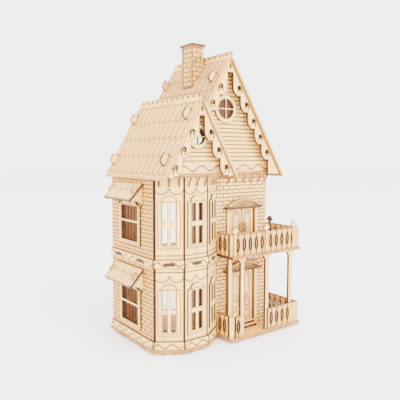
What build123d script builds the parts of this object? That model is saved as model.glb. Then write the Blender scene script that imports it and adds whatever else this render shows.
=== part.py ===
from build123d import *
from math import atan2, cos, degrees, hypot, radians, sin, tan
import os

# A slot-together dollhouse cut from thin plywood: two storeys and an attic, a three-sided
# bay, a double door on each storey, and a porch and balcony round the front right corner.
# Millimetres, +Z up. The origin is the middle of the bounding box, on the ground.
# House coordinates: x from the left wall's face, y back from the front wall's face.

os.makedirs("parts", exist_ok=True)

# Sheets
ply = 3.0                # structural plywood
trim_ply = 2.0           # overlays, rails and door leaves
slot_clearance = 0.1     # round every tab in its slot
body_gap = 0.3           # between boards that pass without a joint
foot = 3.0               # how far the wall tabs stand out below the base plate

# Plan
house_width = 177.5
house_depth = 100.7
bay_run = 28.9           # each angled bay panel, along x
bay_middle = 33.9        # the bay's front panel
bay_depth = 19.0
porch_depth = 31.0       # in front of the front wall
porch_side = 35.3        # beyond the right wall
porch_back = 31.0        # how far the porch runs back beside the right wall
plate_margin = 3.0       # base plate beyond the walls

# Heights
storey_height = 98.0     # clear height of each storey
strip_height = 10.2      # plinth and mid strips
strip_drop = 6.0         # the mid strip's lower edge below the middle floor's top

# Tabs
tab_width = 12.5
side_tab_width = 16.0
side_tab_from_front = (80.7, 27.5)

# Roofs: a small one over the bay and a main one over the door, ridges front to back
small_ridge_x = 47.3
small_roof_out = 0.62    # its underside beyond the left wall, level with the attic floor
small_pitch = 60.0
main_ridge_rise = 144.6  # above the attic floor
main_roof_out = 17.86    # its top beyond the right wall, level with the attic floor
main_pitch = 58.0
eave_drop = 4.6          # eave below the attic floor's top
small_verge = 11.0       # roof beyond the small gable's face
main_verge = 12.6        # roof beyond the main gable's face
small_roof_back = 5.2    # roof beyond the back of the house
main_roof_back = 6.8
attic_side = 4.0         # attic floor beyond the front and right walls
rafter_width = 9.0
small_gable_tab = 30.0   # the small gable's tabs, either side of its ridge
small_barge_gap = 6.0    # between gable and bargeboard
main_barge_gap = 7.0

# Roof hooks: tabs of the gables and rafters that stand out through the roof
hook_length = 12.0
hook_stand = 7.0
small_hooks = (18.5, 78.5)
main_hooks = (28.0, 93.0)

# Scrollwork of the bargeboards: a row of scrolls that end in cusps below a hollow peak
small_scrolls = 3
main_scrolls = 5
scroll_first = 46.0      # from the peak to the first cusp, along the slope
scroll_depth = 8.7       # from the roof's underside to the cusps
scroll_pitch = 23.2
scroll_riser = 0.45      # straight part of a scroll, of its height
apex_drop = 17.7         # solid part under the peak
apex_drop_hole = 9.0     # from the peak to the middle of its teardrop
eye_width = 4.8
eye_height = 6.0
eye_out = 2.8            # from the cusp, sideways and up
eye_up = 9.4
tail_reach = 1.9         # how far the eye's tail bows outwards

# Windows
window_width = 39.0
window_sill = 19.5
window_from_front = 53.2
bay_window_width = 14.4
bay_window_sill = 21.5
bay_window_head = 30.0   # from the opening's top to the ceiling
bay_mullion = 4.4
window_bar = 3.0
bay_bar = 6.0
side_frame_width = 5.6
bay_frame_width = 5.6
ogee_rise = 6.5
side_shoulder = 0.88     # where a head starts to rise, of its half width
bay_shoulder = 0.84
meeting_bar = 0.56       # the bar's height in a wide window, of the opening's
main_round = 12.2        # radius of the glazed opening
small_round = 9.4
round_frame = 5.0
main_round_drop = 65.6   # centre below the ridge
small_round_drop = 46.0
round_bar = 2.0

# Awnings over the left wall's windows
awning_width = 64.0
awning_reach = 20.0
awning_rise = 21.0
awning_gap = 9.5         # from the window's head to the awning's lower edge
awning_head = 5.5        # from the awning's top to the ceiling
awning_tab = 8.0
bracket_height = 26.0
bracket_inset = 3.0      # from the awning's ends
bracket_short = 2.5      # how far the brackets stop behind the awning's edge
bracket_nose = 1.5

# Doors
door_width = 41.4        # opening in the front wall
front_sill = 6.0
front_head = 23.0        # from the front door's head to the ceiling
balcony_lintel = 54.6
leaf_gap = 0.4           # above and below a leaf
jamb_gap = 0.5
meeting_gap = 0.6
pin_radius = 1.0
pin_clearance = 0.05
pin_length = 2.6
jamb_width = 6.0
jamb_reveal = 0.5
ledge_width = 62.0
ledge_reach = 7.0
step_reach = 5.0
arch_rise = 10.0
arch_band = 3.0
handle_height = 13.0
handle_reach = 5.0
handle_inset = 3.0
handle_rise = 30.0       # the pull's middle, above a leaf's lower edge
balcony_handle_rise = 26.5

# Rails
rail_height = 27.0
rail_inset = 2.0         # rail face behind the plate's edge
rail_corner = 6.0        # legs of the angled corner boards
baluster_pitch = 10.2
baluster_width = 6.0
baluster_length = 20.0
spindle_width = 1.6
dot_radius = 1.0
dot_offset = 11.4
rail_from_bay = 0.8
section_balusters = 5    # in each half of the balcony's front rail
porch_balusters = 4      # right of the porch's entry
left_balusters = 2
side_balusters = 5
return_balusters = 3
pilaster_width = 4.0
finial_radius = 3.6

# Porch posts
post_width = 6.0
post_bracket = 6.0
post_from_left = (17.0, 59.5, 103.0)

# Corbels under the attic floor
corbel_height = 11.0
corbel_reach = 5.5
corbel_nose = 2.0
corbel_pitch = 13.0
corbel_from_right = 2.0  # the last one, from the right wall
bay_corbel_pitch = 11.5

# Chimney
chimney_from_ridge = 23.5
chimney_y = 36.0
chimney_width = 17.5
chimney_depth = 23.0
chimney_above = 18.4     # cap's top above the main ridge
cap_overhang = 1.9

# Ridge combs
comb_drop = 9.0
comb_rise = 3.5
comb_lobe = 2.2
comb_pitch = 5.5

# Inner walls
partition_length = 62.0
back_panel_width = 59.0

# Worked-out levels and places
base_top = foot + ply
middle_bottom = base_top + storey_height
middle_top = middle_bottom + ply
attic_bottom = middle_top + storey_height
attic_top = attic_bottom + ply
storey_pitch = storey_height + ply
window_height = storey_height - awning_head - awning_rise - awning_gap - window_sill
bay_window_height = storey_height - bay_window_head - bay_window_sill
front_lintel = storey_height - front_head
balcony_sill = ply
front_x = 2 * bay_run + bay_middle
door_x = (front_x + house_width) / 2
full_width = awning_reach + house_width + porch_side
full_depth = porch_depth + house_depth + main_roof_back
west = awning_reach - full_width / 2
south = porch_depth - full_depth / 2
bay_angle = degrees(atan2(bay_depth, bay_run))
bay_side = hypot(bay_depth, bay_run)
left_groove = ply * tan(radians(90 - bay_angle) / 2)
bay_groove = ply * tan(radians(bay_angle) / 2)
small_slope = tan(radians(small_pitch))
main_slope = tan(radians(main_pitch))
small_drop = ply / cos(radians(small_pitch))
main_drop = ply / cos(radians(main_pitch))
small_ridge_rise = (small_ridge_x + small_roof_out) * small_slope + small_drop
main_ridge_x = house_width + main_roof_out - main_ridge_rise / main_slope
small_ridge_z = attic_top + small_ridge_rise
main_ridge_z = attic_top + main_ridge_rise
valley_x = (small_ridge_z - main_ridge_z + small_slope * small_ridge_x
            + main_slope * main_ridge_x) / (small_slope + main_slope)
valley_z = small_ridge_z - small_slope * (valley_x - small_ridge_x)
main_gable_y = 0.0
small_gable_y = -bay_depth
front_width = house_width - front_x
front_tabs = (door_width / 4, front_width - door_width / 4)


def upright(x, y, heading=0.0, z=0.0):
    """A wall's plane: local x runs along the wall, local y up, and z out of its face."""
    turn = radians(heading)
    return Plane(origin=(west + x, south + y, z),
                 x_dir=(cos(turn), sin(turn), 0), z_dir=(sin(turn), -cos(turn), 0))


def level(z):
    """A floor's plane, with the house's own x and y."""
    return Plane(origin=(west, south, z), x_dir=(1, 0, 0), z_dir=(0, 0, 1))


def side_on(x, y, z=0.0, heading=0.0):
    """A plane square to a wall: local x runs out of the wall's face, local y up."""
    turn = radians(heading)
    return Plane(origin=(west + x, south + y, z),
                 x_dir=(sin(turn), -cos(turn), 0), z_dir=(-cos(turn), -sin(turn), 0))


def save(piece, label):
    """Names a finished piece and writes it."""
    piece.label = label
    export_step(piece, f"parts/{label}.step")


def board(label, plane, profile, thickness):
    """One flat board: a profile on a plane, cut from a sheet of the given thickness."""
    with BuildPart() as sheet:
        with BuildSketch(plane):
            add(profile)
        extrude(amount=thickness)
    save(sheet.part, label)


def boards(label, cuts):
    """Like boards that share a node, each a (plane, profile, thickness)."""
    with BuildPart() as sheets:
        for plane, profile, thickness in cuts:
            with BuildSketch(plane):
                add(profile)
            extrude(amount=thickness)
    save(sheets.part, label)


def box_face(x0, y0, x1, y1):
    """A rectangle between two corners."""
    with BuildSketch() as face:
        with Locations(((x0 + x1) / 2, (y0 + y1) / 2)):
            Rectangle(x1 - x0, y1 - y0)
    return face.sketch


def wall_face(x0, x1, height, feet=(), heads=(), width=tab_width, holes=()):
    """A wall's outline, with tabs through the floor below and the floor above."""
    with BuildSketch() as face:
        add(box_face(x0, 0, x1, height))
        for x in feet:
            add(box_face(x - width / 2, -ply - foot, x + width / 2, 0))
        for x in heads:
            add(box_face(x - width / 2, height, x + width / 2, height + ply))
        for hole in holes:
            add(hole, mode=Mode.SUBTRACT)
    return face.sketch


def slot_face(x, y, heading=0.0, width=tab_width, thickness=ply):
    """A slot for a tab, in a plate's coordinates: from a wall's face inwards."""
    turn = radians(heading)
    middle = thickness / 2
    with BuildSketch() as face:
        with Locations(Location((x - sin(turn) * middle, y + cos(turn) * middle), heading)):
            Rectangle(width + 2 * slot_clearance, thickness + 2 * slot_clearance)
    return face.sketch


def along(start, heading, distance):
    """The point a distance along a wall from its start."""
    turn = radians(heading)
    return (start[0] + cos(turn) * distance, start[1] + sin(turn) * distance)


def ogee_face(x, y0, y1, width, shoulder_share):
    """A window frame's outline: straight sides, small shoulders and a wide arched head."""
    half = width / 2
    shoulder = half * shoulder_share
    with BuildSketch() as face:
        with BuildLine():
            Polyline((x - shoulder, y1), (x - half, y1), (x - half, y0), (x + half, y0),
                     (x + half, y1), (x + shoulder, y1))
            for side in (-1, 1):
                Spline((x + side * shoulder, y1), (x + side * shoulder * 0.7, y1 + ogee_rise * 0.55),
                       (x, y1 + ogee_rise), tangents=((-side, 0), (-side, 0)))
        make_face()
    return face.sketch


def lens_face(width, length):
    """A pointed oval: two arcs that meet above and below."""
    with BuildSketch() as face:
        with BuildLine():
            ThreePointArc((0, -length / 2), (width / 2, 0), (0, length / 2))
            ThreePointArc((0, length / 2), (-width / 2, 0), (0, -length / 2))
        make_face()
    return face.sketch


def baluster_face():
    """What is cut for one baluster: two crescents beside a spindle, and two dots."""
    with BuildSketch() as face:
        add(lens_face(baluster_width, baluster_length))
        add(lens_face(spindle_width, baluster_length), mode=Mode.SUBTRACT)
        Rectangle(spindle_width / 2, baluster_length, mode=Mode.SUBTRACT)
        with Locations((0, dot_offset), (0, -dot_offset)):
            Circle(dot_radius)
    return face.sketch


def rail_face(length, count, first, pitch=baluster_pitch):
    """A rail board from x = 0, pierced by a row of balusters."""
    with BuildSketch() as face:
        add(box_face(0, 0, length, rail_height))
        for i in range(count):
            with Locations((first + i * pitch, rail_height / 2)):
                add(baluster_face(), mode=Mode.SUBTRACT)
    return face.sketch


# Walls run left wall, bay left, bay middle, bay right, front wall, right wall
corner = [(0, house_depth), (0, 0), (bay_run, -bay_depth),
          (bay_run + bay_middle, -bay_depth), (front_x, 0), (house_width, 0)]
heading = [-90, -bay_angle, 0, bay_angle, 0, 90]
bay_length = [bay_side, bay_middle, bay_side]
side_tabs = tuple(house_depth - y for y in side_tab_from_front)
side_window_x = house_depth - window_from_front

# Base plate: the house's outline with a margin, and the porch floor
with BuildPart() as base_plate:
    with BuildSketch(level(foot)):
        with BuildLine():
            Polyline(*corner, (house_width, house_depth), close=True)
        make_face()
        offset(amount=plate_margin, kind=Kind.INTERSECTION)
        add(box_face(front_x, -porch_depth, house_width + porch_side, 0))
        add(box_face(house_width, -porch_depth, house_width + porch_side, porch_back))
        for x in side_tabs:
            add(slot_face(*along(corner[0], -90, x), -90, side_tab_width), mode=Mode.SUBTRACT)
        for i in range(3):
            middle = along(corner[i + 1], heading[i + 1], bay_length[i] / 2)
            add(slot_face(*middle, heading[i + 1]), mode=Mode.SUBTRACT)
        for x in front_tabs:
            add(slot_face(front_x + x, 0), mode=Mode.SUBTRACT)
        for y in side_tabs:
            add(slot_face(house_width, house_depth - y, 90, side_tab_width), mode=Mode.SUBTRACT)
    extrude(amount=ply)
save(base_plate.part, "base_plate")

# Middle floor: one plate inside the walls, over the lower front and right walls, and out
# as the balcony. Its tabs pass through the walls and the mid strips.
with BuildPart() as middle_floor:
    with BuildSketch(level(middle_bottom)):
        with BuildLine():
            Polyline(*corner, (house_width, house_depth), close=True)
        make_face()
        offset(amount=-ply - slot_clearance, kind=Kind.INTERSECTION)
        add(box_face(front_x + slot_clearance, 0, house_width, 2 * ply))
        add(box_face(house_width - 2 * ply, 0, house_width, house_depth - ply))
        add(box_face(front_x + slot_clearance, -porch_depth, house_width + porch_side, 0))
        add(box_face(house_width, -porch_depth, house_width + porch_side, porch_back))
        for x in side_tabs:
            middle = along(corner[0], -90, x)
            with Locations(Location((middle[0] + ply / 2, middle[1]), -90)):
                Rectangle(side_tab_width, ply + 2 * trim_ply)
        for i in range(3):
            middle = along(corner[i + 1], heading[i + 1], bay_length[i] / 2)
            turn = radians(heading[i + 1])
            inward = ply / 2
            with Locations(Location((middle[0] - sin(turn) * inward,
                                     middle[1] + cos(turn) * inward), heading[i + 1])):
                Rectangle(tab_width, ply + 2 * trim_ply)
    extrude(amount=ply)
save(middle_floor.part, "middle_floor")

# Attic floor: square over the bay and a little beyond the front and right walls
gable_tabs_small = (small_ridge_x - small_gable_tab, small_ridge_x + small_gable_tab)
gable_tabs_main = (door_x - tab_width, door_x + tab_width)
attic_half = (small_ridge_rise - small_drop) / small_slope - 2 * slot_clearance
eave_outside = small_ridge_x + (small_ridge_z - attic_bottom) / small_slope
with BuildPart() as attic_floor:
    with BuildSketch(level(attic_bottom)):
        add(box_face(small_ridge_x - attic_half, -bay_depth - ply,
                     small_ridge_x + attic_half, house_depth + ply))
        add(box_face(front_x, 0, house_width + attic_side, house_depth + ply))
        add(box_face(eave_outside + body_gap, -attic_side, house_width + attic_side, 0))
        for x in side_tabs:
            add(slot_face(*along(corner[0], -90, x), -90, side_tab_width), mode=Mode.SUBTRACT)
        for i in range(3):
            middle = along(corner[i + 1], heading[i + 1], bay_length[i] / 2)
            add(slot_face(*middle, heading[i + 1]), mode=Mode.SUBTRACT)
        for x in front_tabs:
            add(slot_face(front_x + x, 0), mode=Mode.SUBTRACT)
        for y in side_tabs:
            add(slot_face(house_width, house_depth - y, 90, side_tab_width), mode=Mode.SUBTRACT)
        for x in gable_tabs_small:
            add(slot_face(x, small_gable_y), mode=Mode.SUBTRACT)
        for x in gable_tabs_main:
            add(slot_face(x, main_gable_y), mode=Mode.SUBTRACT)
    extrude(amount=ply)
save(attic_floor.part, "attic_floor")

# Left wall and bay panels run the full height, with window openings and floor slots
full_height = attic_bottom - base_top
floor_slot_y = middle_bottom - base_top + ply / 2


def floor_slot(x, width):
    """The slot in a full-height wall for a tab of the middle floor."""
    with BuildSketch() as face:
        with Locations((x, floor_slot_y)):
            Rectangle(width + 2 * slot_clearance, ply + 2 * slot_clearance)
    return face.sketch


left_holes = [floor_slot(x, side_tab_width) for x in side_tabs]
for storey in (0, 1):
    sill = window_sill + storey * storey_pitch
    left_holes.append(box_face(side_window_x - window_width / 2, sill,
                               side_window_x + window_width / 2, sill + window_height))
board("left_wall", upright(*corner[0], -90, base_top),
      wall_face(0, house_depth - left_groove, full_height, side_tabs, side_tabs,
                side_tab_width, left_holes), -ply)

panel_names = ("bay_panel_left", "bay_panel_middle", "bay_panel_right")
panel_ends = ((left_groove, bay_groove), (bay_groove, bay_groove), (bay_groove, 0))
for i, name in enumerate(panel_names):
    centre = bay_length[i] / 2
    holes = [floor_slot(centre, tab_width)]
    for storey in (0, 1):
        sill = bay_window_sill + storey * storey_pitch
        holes.append(box_face(centre - bay_window_width / 2, sill,
                              centre + bay_window_width / 2, sill + bay_window_height))
    board(name, upright(*corner[i + 1], heading[i + 1], base_top),
          wall_face(panel_ends[i][0], bay_length[i] - panel_ends[i][1], full_height,
                    (centre,), (centre,), tab_width, holes), -ply)

# Front and right walls are one board per storey, with the middle floor between them
door_centre = front_width / 2
sills = (front_sill, balcony_sill)
lintels = (front_lintel, balcony_lintel)
storey_z = (base_top, middle_top)
right_start = ply
right_length = house_depth - ply
right_tabs = tuple(house_depth - y - ply for y in side_tabs)
right_window_x = window_from_front - ply
for storey, level_name in enumerate(("lower", "upper")):
    doorway = box_face(door_centre - door_width / 2, 0,
                       door_centre + door_width / 2, lintels[storey] + ply)
    with BuildPart() as front_wall:
        with BuildSketch(upright(front_x, 0, 0, storey_z[storey])):
            add(box_face(0, 0, front_width, storey_height))
            for x in front_tabs:
                if storey == 0:
                    add(box_face(x - tab_width / 2, -ply - foot, x + tab_width / 2, 0))
                else:
                    add(box_face(x - tab_width / 2, storey_height,
                                 x + tab_width / 2, storey_height + ply))
            add(doorway, mode=Mode.SUBTRACT)
        extrude(amount=-ply)
    save(front_wall.part, f"front_wall_{level_name}")

    with BuildPart() as right_wall:
        with BuildSketch(upright(house_width, ply, 90, storey_z[storey])):
            add(box_face(0, 0, right_length, storey_height))
            for x in right_tabs:
                if storey == 0:
                    add(box_face(x - side_tab_width / 2, -ply - foot,
                                 x + side_tab_width / 2, 0))
                else:
                    add(box_face(x - side_tab_width / 2, storey_height,
                                 x + side_tab_width / 2, storey_height + ply))
            add(box_face(right_window_x - window_width / 2, window_sill,
                         right_window_x + window_width / 2, window_sill + window_height),
                mode=Mode.SUBTRACT)
        extrude(amount=-ply)
    save(right_wall.part, f"right_wall_{level_name}")

    # Inner walls: one between the bay room and the hall, one closing the bay room's back
    board(f"partition_{level_name}", upright(front_x + ply, ply, 90, storey_z[storey]),
          box_face(0, 0, partition_length, storey_height), -ply)
    board(f"back_panel_{level_name}", upright(ply, house_depth - ply, 0, storey_z[storey]),
          box_face(0, 0, back_panel_width, storey_height), -ply)

# Plinth and mid strips, proud of the left wall and the bay. The mid strips are slotted.
strip_bottom = middle_top - strip_drop
for label, z in (("plinth_strips", base_top), ("band_strips", strip_bottom)):
    cuts = []
    for i in range(4):
        length = (house_depth, *bay_length)[i]
        end = length - (2 * trim_ply if i == 3 else 0)
        centres = side_tabs if i == 0 else (length / 2,)
        width = side_tab_width if i == 0 else tab_width
        with BuildSketch() as strip:
            add(box_face(0, 0, end, strip_height))
            if label == "band_strips":
                for x in centres:
                    with Locations((x, middle_bottom + ply / 2 - strip_bottom)):
                        Rectangle(width + 2 * slot_clearance, ply + 2 * slot_clearance,
                                  mode=Mode.SUBTRACT)
        cuts.append((upright(*corner[i], heading[i], z), strip.sketch, trim_ply))
    boards(label, cuts)


# Window frames are overlays on the walls, with their bars
def side_window(x, sill):
    """A wide window's frame: two panes, one over the other, under an ogee head."""
    low = sill - side_frame_width + 1
    high = sill + window_height + 1
    bar = sill + window_height * meeting_bar
    with BuildSketch() as face:
        add(ogee_face(x, low, high, window_width + 2 * side_frame_width, side_shoulder))
        add(box_face(x - window_width / 2, sill, x + window_width / 2, bar - window_bar / 2),
            mode=Mode.SUBTRACT)
        add(box_face(x - window_width / 2, bar + window_bar / 2, x + window_width / 2,
                     sill + window_height), mode=Mode.SUBTRACT)
    return face.sketch


def bay_window(x, sill):
    """A narrow window's frame: four panes under an ogee head."""
    low = sill - side_frame_width + 1
    high = sill + bay_window_height + 2
    pane = (bay_window_width - bay_mullion) / 2
    middle = sill + bay_window_height / 2
    with BuildSketch() as face:
        add(ogee_face(x, low, high, bay_window_width + 2 * bay_frame_width, bay_shoulder))
        for side in (-1, 1):
            centre = x + side * (bay_mullion + pane) / 2
            add(box_face(centre - pane / 2, sill, centre + pane / 2, middle - bay_bar / 2),
                mode=Mode.SUBTRACT)
            add(box_face(centre - pane / 2, middle + bay_bar / 2, centre + pane / 2,
                         sill + bay_window_height), mode=Mode.SUBTRACT)
    return face.sketch


for storey, level_name in enumerate(("lower", "upper")):
    boards(f"bay_windows_{level_name}",
           [(upright(*corner[i], heading[i], storey_z[storey]),
             bay_window(bay_length[i - 1] / 2, bay_window_sill), trim_ply)
            for i in (1, 2, 3)])
boards("left_windows", [(upright(*corner[0], -90, z), side_window(side_window_x, window_sill),
                         trim_ply) for z in storey_z])
boards("right_windows", [(upright(house_width, ply, 90, z),
                          side_window(right_window_x, window_sill), trim_ply)
                         for z in storey_z])

# Awnings: a sloping board over each left window, on two brackets whose tabs come through it
awning_angle = degrees(atan2(awning_rise, awning_reach))
awning_length = hypot(awning_reach, awning_rise)
awning_start = ply * awning_rise / awning_reach + slot_clearance
bracket_ys = (window_from_front - awning_width / 2 + bracket_inset,
              window_from_front + awning_width / 2 - bracket_inset - trim_ply)
bracket_drop = ply / cos(radians(awning_angle))
slot_middle = awning_length / 2
bracket_cuts = []
for storey, level_name in enumerate(("lower", "upper")):
    low = storey_z[storey] + window_sill + window_height + awning_gap
    top = low + awning_rise
    slope_plane = Plane(origin=(west, south + window_from_front + awning_width / 2, top),
                        x_dir=(0, -1, 0),
                        z_dir=(-sin(radians(awning_angle)), 0, cos(radians(awning_angle))))
    with BuildPart() as awning:
        with BuildSketch(slope_plane):
            add(box_face(0, -awning_length, awning_width, -awning_start))
            for y in bracket_ys:
                offset_x = window_from_front + awning_width / 2 - y - trim_ply / 2
                with Locations((offset_x, -slot_middle)):
                    Rectangle(trim_ply + 2 * slot_clearance, awning_tab + 2 * slot_clearance,
                              mode=Mode.SUBTRACT)
        extrude(amount=-ply)
    save(awning.part, f"awning_{level_name}")
    for y in bracket_ys:
        with BuildSketch() as bracket:
            head = awning_rise - bracket_drop
            reach = awning_reach - bracket_short
            tip = head - reach * awning_rise / awning_reach
            with BuildLine():
                Polyline((0, head), (reach, tip), (reach, tip - bracket_nose))
                ThreePointArc((reach, tip - bracket_nose), (reach * 0.36, tip - bracket_nose),
                              (0, head - bracket_height))
                Line((0, head - bracket_height), (0, head))
            make_face()
            with Locations(Location((slot_middle * cos(radians(awning_angle)),
                                     awning_rise - slot_middle * sin(radians(awning_angle))),
                                    -awning_angle)):
                Rectangle(awning_tab, 2 * ply, align=(Align.CENTER, Align.CENTER))
        bracket_cuts.append((side_on(0, y, low, -90), bracket.sketch, trim_ply))
boards("awning_brackets", bracket_cuts)

# Door frames, ledges, arches and leaves. Each leaf turns on two round pins in the ledges.
leaf_width = (door_width - 2 * jamb_gap - meeting_gap) / 2
bore_radius = pin_radius + pin_clearance
leaf_y = ply / 2
names = ("front", "balcony")
hinge_xs = (door_x - door_width / 2 + jamb_gap + trim_ply / 2,
            door_x + door_width / 2 - jamb_gap - trim_ply / 2)
for storey, name in enumerate(names):
    base = storey_z[storey]
    sill = sills[storey]
    lintel = lintels[storey]

    # Jamb boards beside the opening
    cuts = []
    for side in (-1, 1):
        inner = door_centre + side * (door_width / 2 + jamb_reveal)
        outer = inner + side * jamb_width
        cuts.append((upright(front_x, 0, 0, base),
                     box_face(min(inner, outer), 0, max(inner, outer), lintel), trim_ply))
    boards(f"{name}_door_frame", cuts)

    # Threshold and lintel ledges, bored for the pins
    with BuildPart() as ledges:
        for bottom, thickness, reach, width in ((sill - ply, ply, step_reach, door_width),
                                                (lintel, ply, ledge_reach, ledge_width)):
            with BuildSketch(level(base + bottom)) as ledge:
                add(box_face(door_x - door_width / 2, 0, door_x + door_width / 2, ply))
                add(box_face(door_x - width / 2, -reach, door_x + width / 2, 0))
                fillet(ledge.vertices().group_by(Axis.Y)[0], radius=reach / 2)
                with Locations((hinge_xs[0], leaf_y), (hinge_xs[1], leaf_y)):
                    Circle(bore_radius, mode=Mode.SUBTRACT)
            extrude(amount=thickness)
        if sill > ply:
            with BuildSketch(level(base)) as step:
                add(box_face(door_x - door_width / 2, -2 * step_reach,
                             door_x + door_width / 2, ply))
                fillet(step.vertices().group_by(Axis.Y)[0], radius=step_reach)
            extrude(amount=sill - ply)
    save(ledges.part, f"{name}_door_ledges")

    # The arch over the lintel: a bowed band in front of a board that fills it
    half = ledge_width / 2 - 1
    arch_radius = (half ** 2 + arch_rise ** 2) / (2 * arch_rise)
    arch_plane = upright(door_x, 0, 0, base + lintel + ply)
    with BuildPart() as arch:
        with BuildSketch(arch_plane) as tympanum:
            with Locations((0, arch_rise - arch_radius)):
                Circle(arch_radius)
            split(bisect_by=Plane.XZ, keep=Keep.BOTTOM)
        extrude(amount=trim_ply)
        with BuildSketch(arch_plane) as band:
            with Locations((0, arch_rise - arch_radius)):
                Circle(arch_radius)
                Circle(arch_radius - arch_band, mode=Mode.SUBTRACT)
            split(bisect_by=Plane.XZ, keep=Keep.BOTTOM)
        extrude(amount=ledge_reach - 1)
    save(arch.part, f"{name}_door_arch")

    # Leaves, with a rounded hinge edge and a pin above and below it
    for side, side_name in ((-1, "left"), (1, "right")):
        hinge_x = hinge_xs[(side + 1) // 2]
        free = leaf_width - trim_ply / 2
        low = base + sill + leaf_gap
        high = base + lintel - leaf_gap
        with BuildPart() as leaf:
            with BuildSketch(level(low)):
                with Locations((hinge_x - side * free / 2, leaf_y)):
                    Rectangle(free, trim_ply)
                with Locations((hinge_x, leaf_y)):
                    Circle(trim_ply / 2)
            extrude(amount=high - low)
            for z, way in ((low, -1), (high, 1)):
                with BuildSketch(level(z)):
                    with Locations((hinge_x, leaf_y)):
                        Circle(pin_radius)
                extrude(amount=way * pin_length)
        save(leaf.part, f"{name}_door_{side_name}")

        # D-shaped pull, standing square off the leaf
        handle_x = hinge_x - side * (free - handle_inset)
        rise = handle_rise if storey == 0 else balcony_handle_rise
        with BuildSketch() as pull:
            with BuildLine():
                Polyline((0, -handle_height / 2), (0, handle_height / 2),
                         (handle_reach * 0.4, handle_height / 2))
                ThreePointArc((handle_reach * 0.4, handle_height / 2), (handle_reach, 0),
                              (handle_reach * 0.4, -handle_height / 2))
                Line((handle_reach * 0.4, -handle_height / 2), (0, -handle_height / 2))
            make_face()
            with Locations((handle_reach * 0.32, 0)):
                Ellipse(handle_reach * 0.3, handle_height * 0.3, mode=Mode.SUBTRACT)
        board(f"{name}_handle_{side_name}",
              side_on(handle_x + trim_ply / 2, leaf_y - trim_ply / 2, low + rise),
              pull.sketch, trim_ply)

# Balcony and porch rails: front, left side, right side and the return to the right wall
rail_y = rail_inset - porch_depth
rail_left = front_x + rail_from_bay
rail_right = house_width + porch_side - rail_inset
front_start = rail_left + rail_corner
corner_length = hypot(rail_corner, rail_corner)
corner_groove = trim_ply * tan(radians(45) / 2) + slot_clearance
side_length = -rail_y - rail_corner - corner_groove
rail_back_y = porch_back - rail_inset
front_rail = rail_right - front_start
section = section_balusters * baluster_pitch
entry_left = post_from_left[0] - (front_start - front_x)
entry_right = post_from_left[1] + post_width / 2 - (front_start - front_x)
corner_cuts = []
for label, z in (("balcony", middle_top), ("porch", base_top)):
    with BuildSketch() as front_face:
        add(box_face(corner_groove, 0, front_rail, rail_height))
        if label == "balcony":
            for first in (baluster_pitch * 0.35, section + pilaster_width + baluster_pitch * 0.45):
                for i in range(section_balusters):
                    with Locations((first + i * baluster_pitch, rail_height / 2)):
                        add(baluster_face(), mode=Mode.SUBTRACT)
        else:
            add(box_face(entry_left, 0, entry_right, rail_height), mode=Mode.SUBTRACT)
            with Locations((entry_left / 2, rail_height / 2)):
                add(baluster_face(), mode=Mode.SUBTRACT)
            for i in range(porch_balusters):
                with Locations((entry_right + (i + 0.6) * baluster_pitch, rail_height / 2)):
                    add(baluster_face(), mode=Mode.SUBTRACT)
    board(f"{label}_rail_front", upright(front_start, rail_y, 0, z), front_face.sketch, -trim_ply)
    side_run = rail_back_y - rail_y
    boards(f"{label}_rail_sides", [
        (upright(rail_left, 0, -90, z),
         rail_face(side_length, left_balusters, side_length * 0.3,
                   side_length * 0.8 / left_balusters), -trim_ply),
        (upright(rail_right, rail_y + trim_ply + slot_clearance, 90, z),
         rail_face(side_run - 2 * trim_ply - 2 * slot_clearance, side_balusters,
                   baluster_pitch * 0.7), -trim_ply),
        (upright(house_width + trim_ply + slot_clearance, rail_back_y, 0, z),
         rail_face(rail_right - house_width - trim_ply - slot_clearance, return_balusters,
                   baluster_pitch * 0.6), trim_ply)])
    with BuildSketch() as corner_board:
        add(box_face(corner_groove, 0, corner_length - corner_groove, rail_height))
        if label == "porch":
            fillet(corner_board.vertices().group_by(Axis.Y)[-1], radius=trim_ply)
    corner_cuts.append((upright(rail_left, rail_y + rail_corner, -45, z),
                        corner_board.sketch, -trim_ply))
boards("corner_boards", corner_cuts)

# Pilasters on the balcony's front rail and its back right corner, with three-lobed finials
pilaster_height = rail_height + 1
pilaster_thickness = 0.6 * trim_ply
with BuildSketch() as pilaster:
    add(box_face(-pilaster_width / 2, 0, pilaster_width / 2, pilaster_height + finial_radius))
    with Locations((0, pilaster_height + 1.4 * finial_radius)):
        Circle(finial_radius)
    for side in (-1, 1):
        with Locations((side * 0.9 * finial_radius, pilaster_height + 0.9 * finial_radius)):
            Circle(0.6 * finial_radius)
pilaster_xs = (front_start - baluster_pitch * 0.2, front_start + section,
               front_start + 2 * section - baluster_pitch * 0.1)
finial_cuts = [(upright(x, rail_y, 0, middle_top), pilaster.sketch, pilaster_thickness)
               for x in pilaster_xs]
finial_cuts.append((upright(rail_right, rail_back_y - pilaster_width, 90, middle_top),
                    pilaster.sketch, pilaster_thickness))
boards("balcony_pilasters", finial_cuts)

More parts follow.
